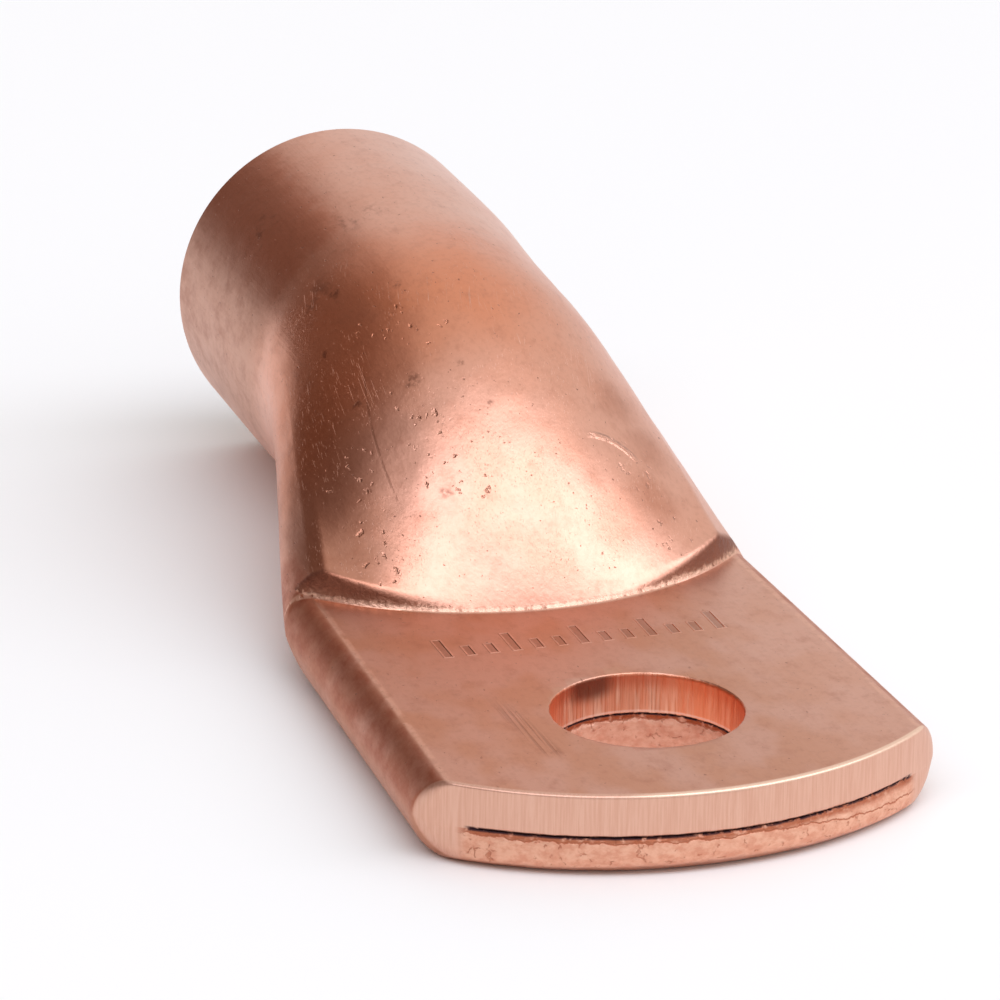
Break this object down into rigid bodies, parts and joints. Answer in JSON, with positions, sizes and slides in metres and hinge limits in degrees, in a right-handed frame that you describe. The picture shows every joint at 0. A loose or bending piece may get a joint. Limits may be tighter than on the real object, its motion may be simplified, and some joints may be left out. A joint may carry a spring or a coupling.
{
  "type": "copper cable lug",
  "caption": "Tubular copper cable lug: a cable is crimped in its open barrel, and its pressed flat palm bolts to a terminal or busbar.",
  "frame": {"origin": "centre of the bolt hole, on the flat contact face under the palm", "axes": "+X along the barrel, from the bolt hole towards the barrel's open mouth; +Z along the bolt hole, up from the contact face; +Y across the palm"},
  "size_m": [0.0887, 0.0368, 0.025],
  "materials": {
    "copper": null
  },
  "bodies": {
    "root": {"cable_lug": "copper"}
  },
  "joints": []
}
